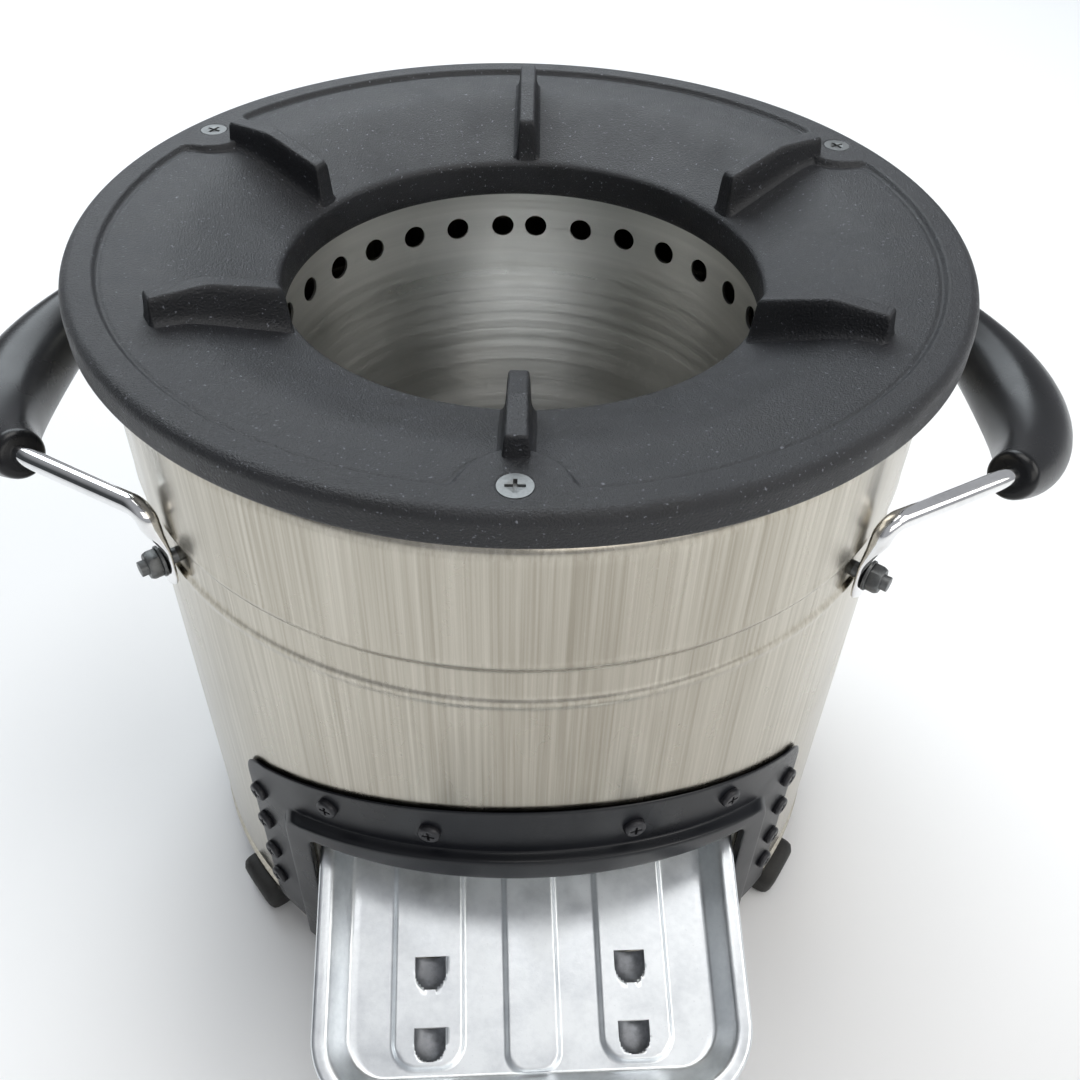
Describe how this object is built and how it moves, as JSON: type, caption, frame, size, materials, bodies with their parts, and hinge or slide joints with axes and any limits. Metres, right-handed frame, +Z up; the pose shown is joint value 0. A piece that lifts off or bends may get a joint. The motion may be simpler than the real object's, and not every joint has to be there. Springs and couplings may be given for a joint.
{
  "type": "rocket stove",
  "caption": "Round double-walled steel rocket stove with a ribbed cast-iron hob, side carrying handles and an inclined fuel tray that slides in its feed mouth.",
  "frame": {"origin": "on the floor, under the middle of the whole stove's box", "axes": "+Z up; +X to the stove's right-hand handle, seen from the front; the feed mouth and tray face -Y, turned 3 degrees to +X"},
  "size_m": [0.3862, 0.3324, 0.271],
  "materials": {
    "cast_iron": "seasoned as-cast black iron, fine grain, soft sheen",
    "zinc_screw": "zinc plated, slightly dull",
    "sheet_steel": "mill finish sheet",
    "brushed_body": "bright stainless with fine vertical drawing lines",
    "chamber_steel": "satin stainless with soft forming rings",
    "black_enamel": "black satin enamel",
    "black_screw": "black oxide",
    "galvanised_tray": "bright galvanised, rubbed",
    "rivet_metal": "plain",
    "foot_black": "matt black moulded",
    "chromed_rod": "polished chrome plate",
    "grip_black": "semi-gloss black phenolic",
    "collar_black": "gloss black"
  },
  "bodies": {
    "stove": {"top_plate": "cast_iron", "plate_screws": "zinc_screw", "plate_nuts": "zinc_screw", "top_ring": "sheet_steel", "outer_body": "brushed_body", "combustion_chamber": "chamber_steel", "chamber_floor": "sheet_steel", "base_plate": "sheet_steel", "feed_tunnel": "sheet_steel", "feed_frame": "black_enamel", "frame_screws": "black_screw", "tray_rail_right": "sheet_steel", "tray_rail_left": "sheet_steel", "rail_rivets": "rivet_metal", "foot_screws": "zinc_screw", "foot_front_right": "foot_black", "foot_rear_right": "foot_black", "foot_rear_left": "foot_black", "foot_front_left": "foot_black", "handle_rod_right": "chromed_rod", "handle_grip_right": "grip_black", "handle_collars_right": "collar_black", "handle_bolts_right": "zinc_screw", "handle_washers_right": "zinc_screw", "handle_nuts_right": "zinc_screw", "handle_rod_left": "chromed_rod", "handle_grip_left": "grip_black", "handle_collars_left": "collar_black", "handle_bolts_left": "zinc_screw", "handle_washers_left": "zinc_screw", "handle_nuts_left": "zinc_screw"},
    "fuel_tray": {"fuel_tray": "galvanised_tray"}
  },
  "joints": [
    {"name": "tray_slide", "type": "slide", "parent": "stove", "child": "fuel_tray", "axis": [0.0492, -0.9384, -0.342], "range_m": [-0.045, 0.06]}
  ]
}
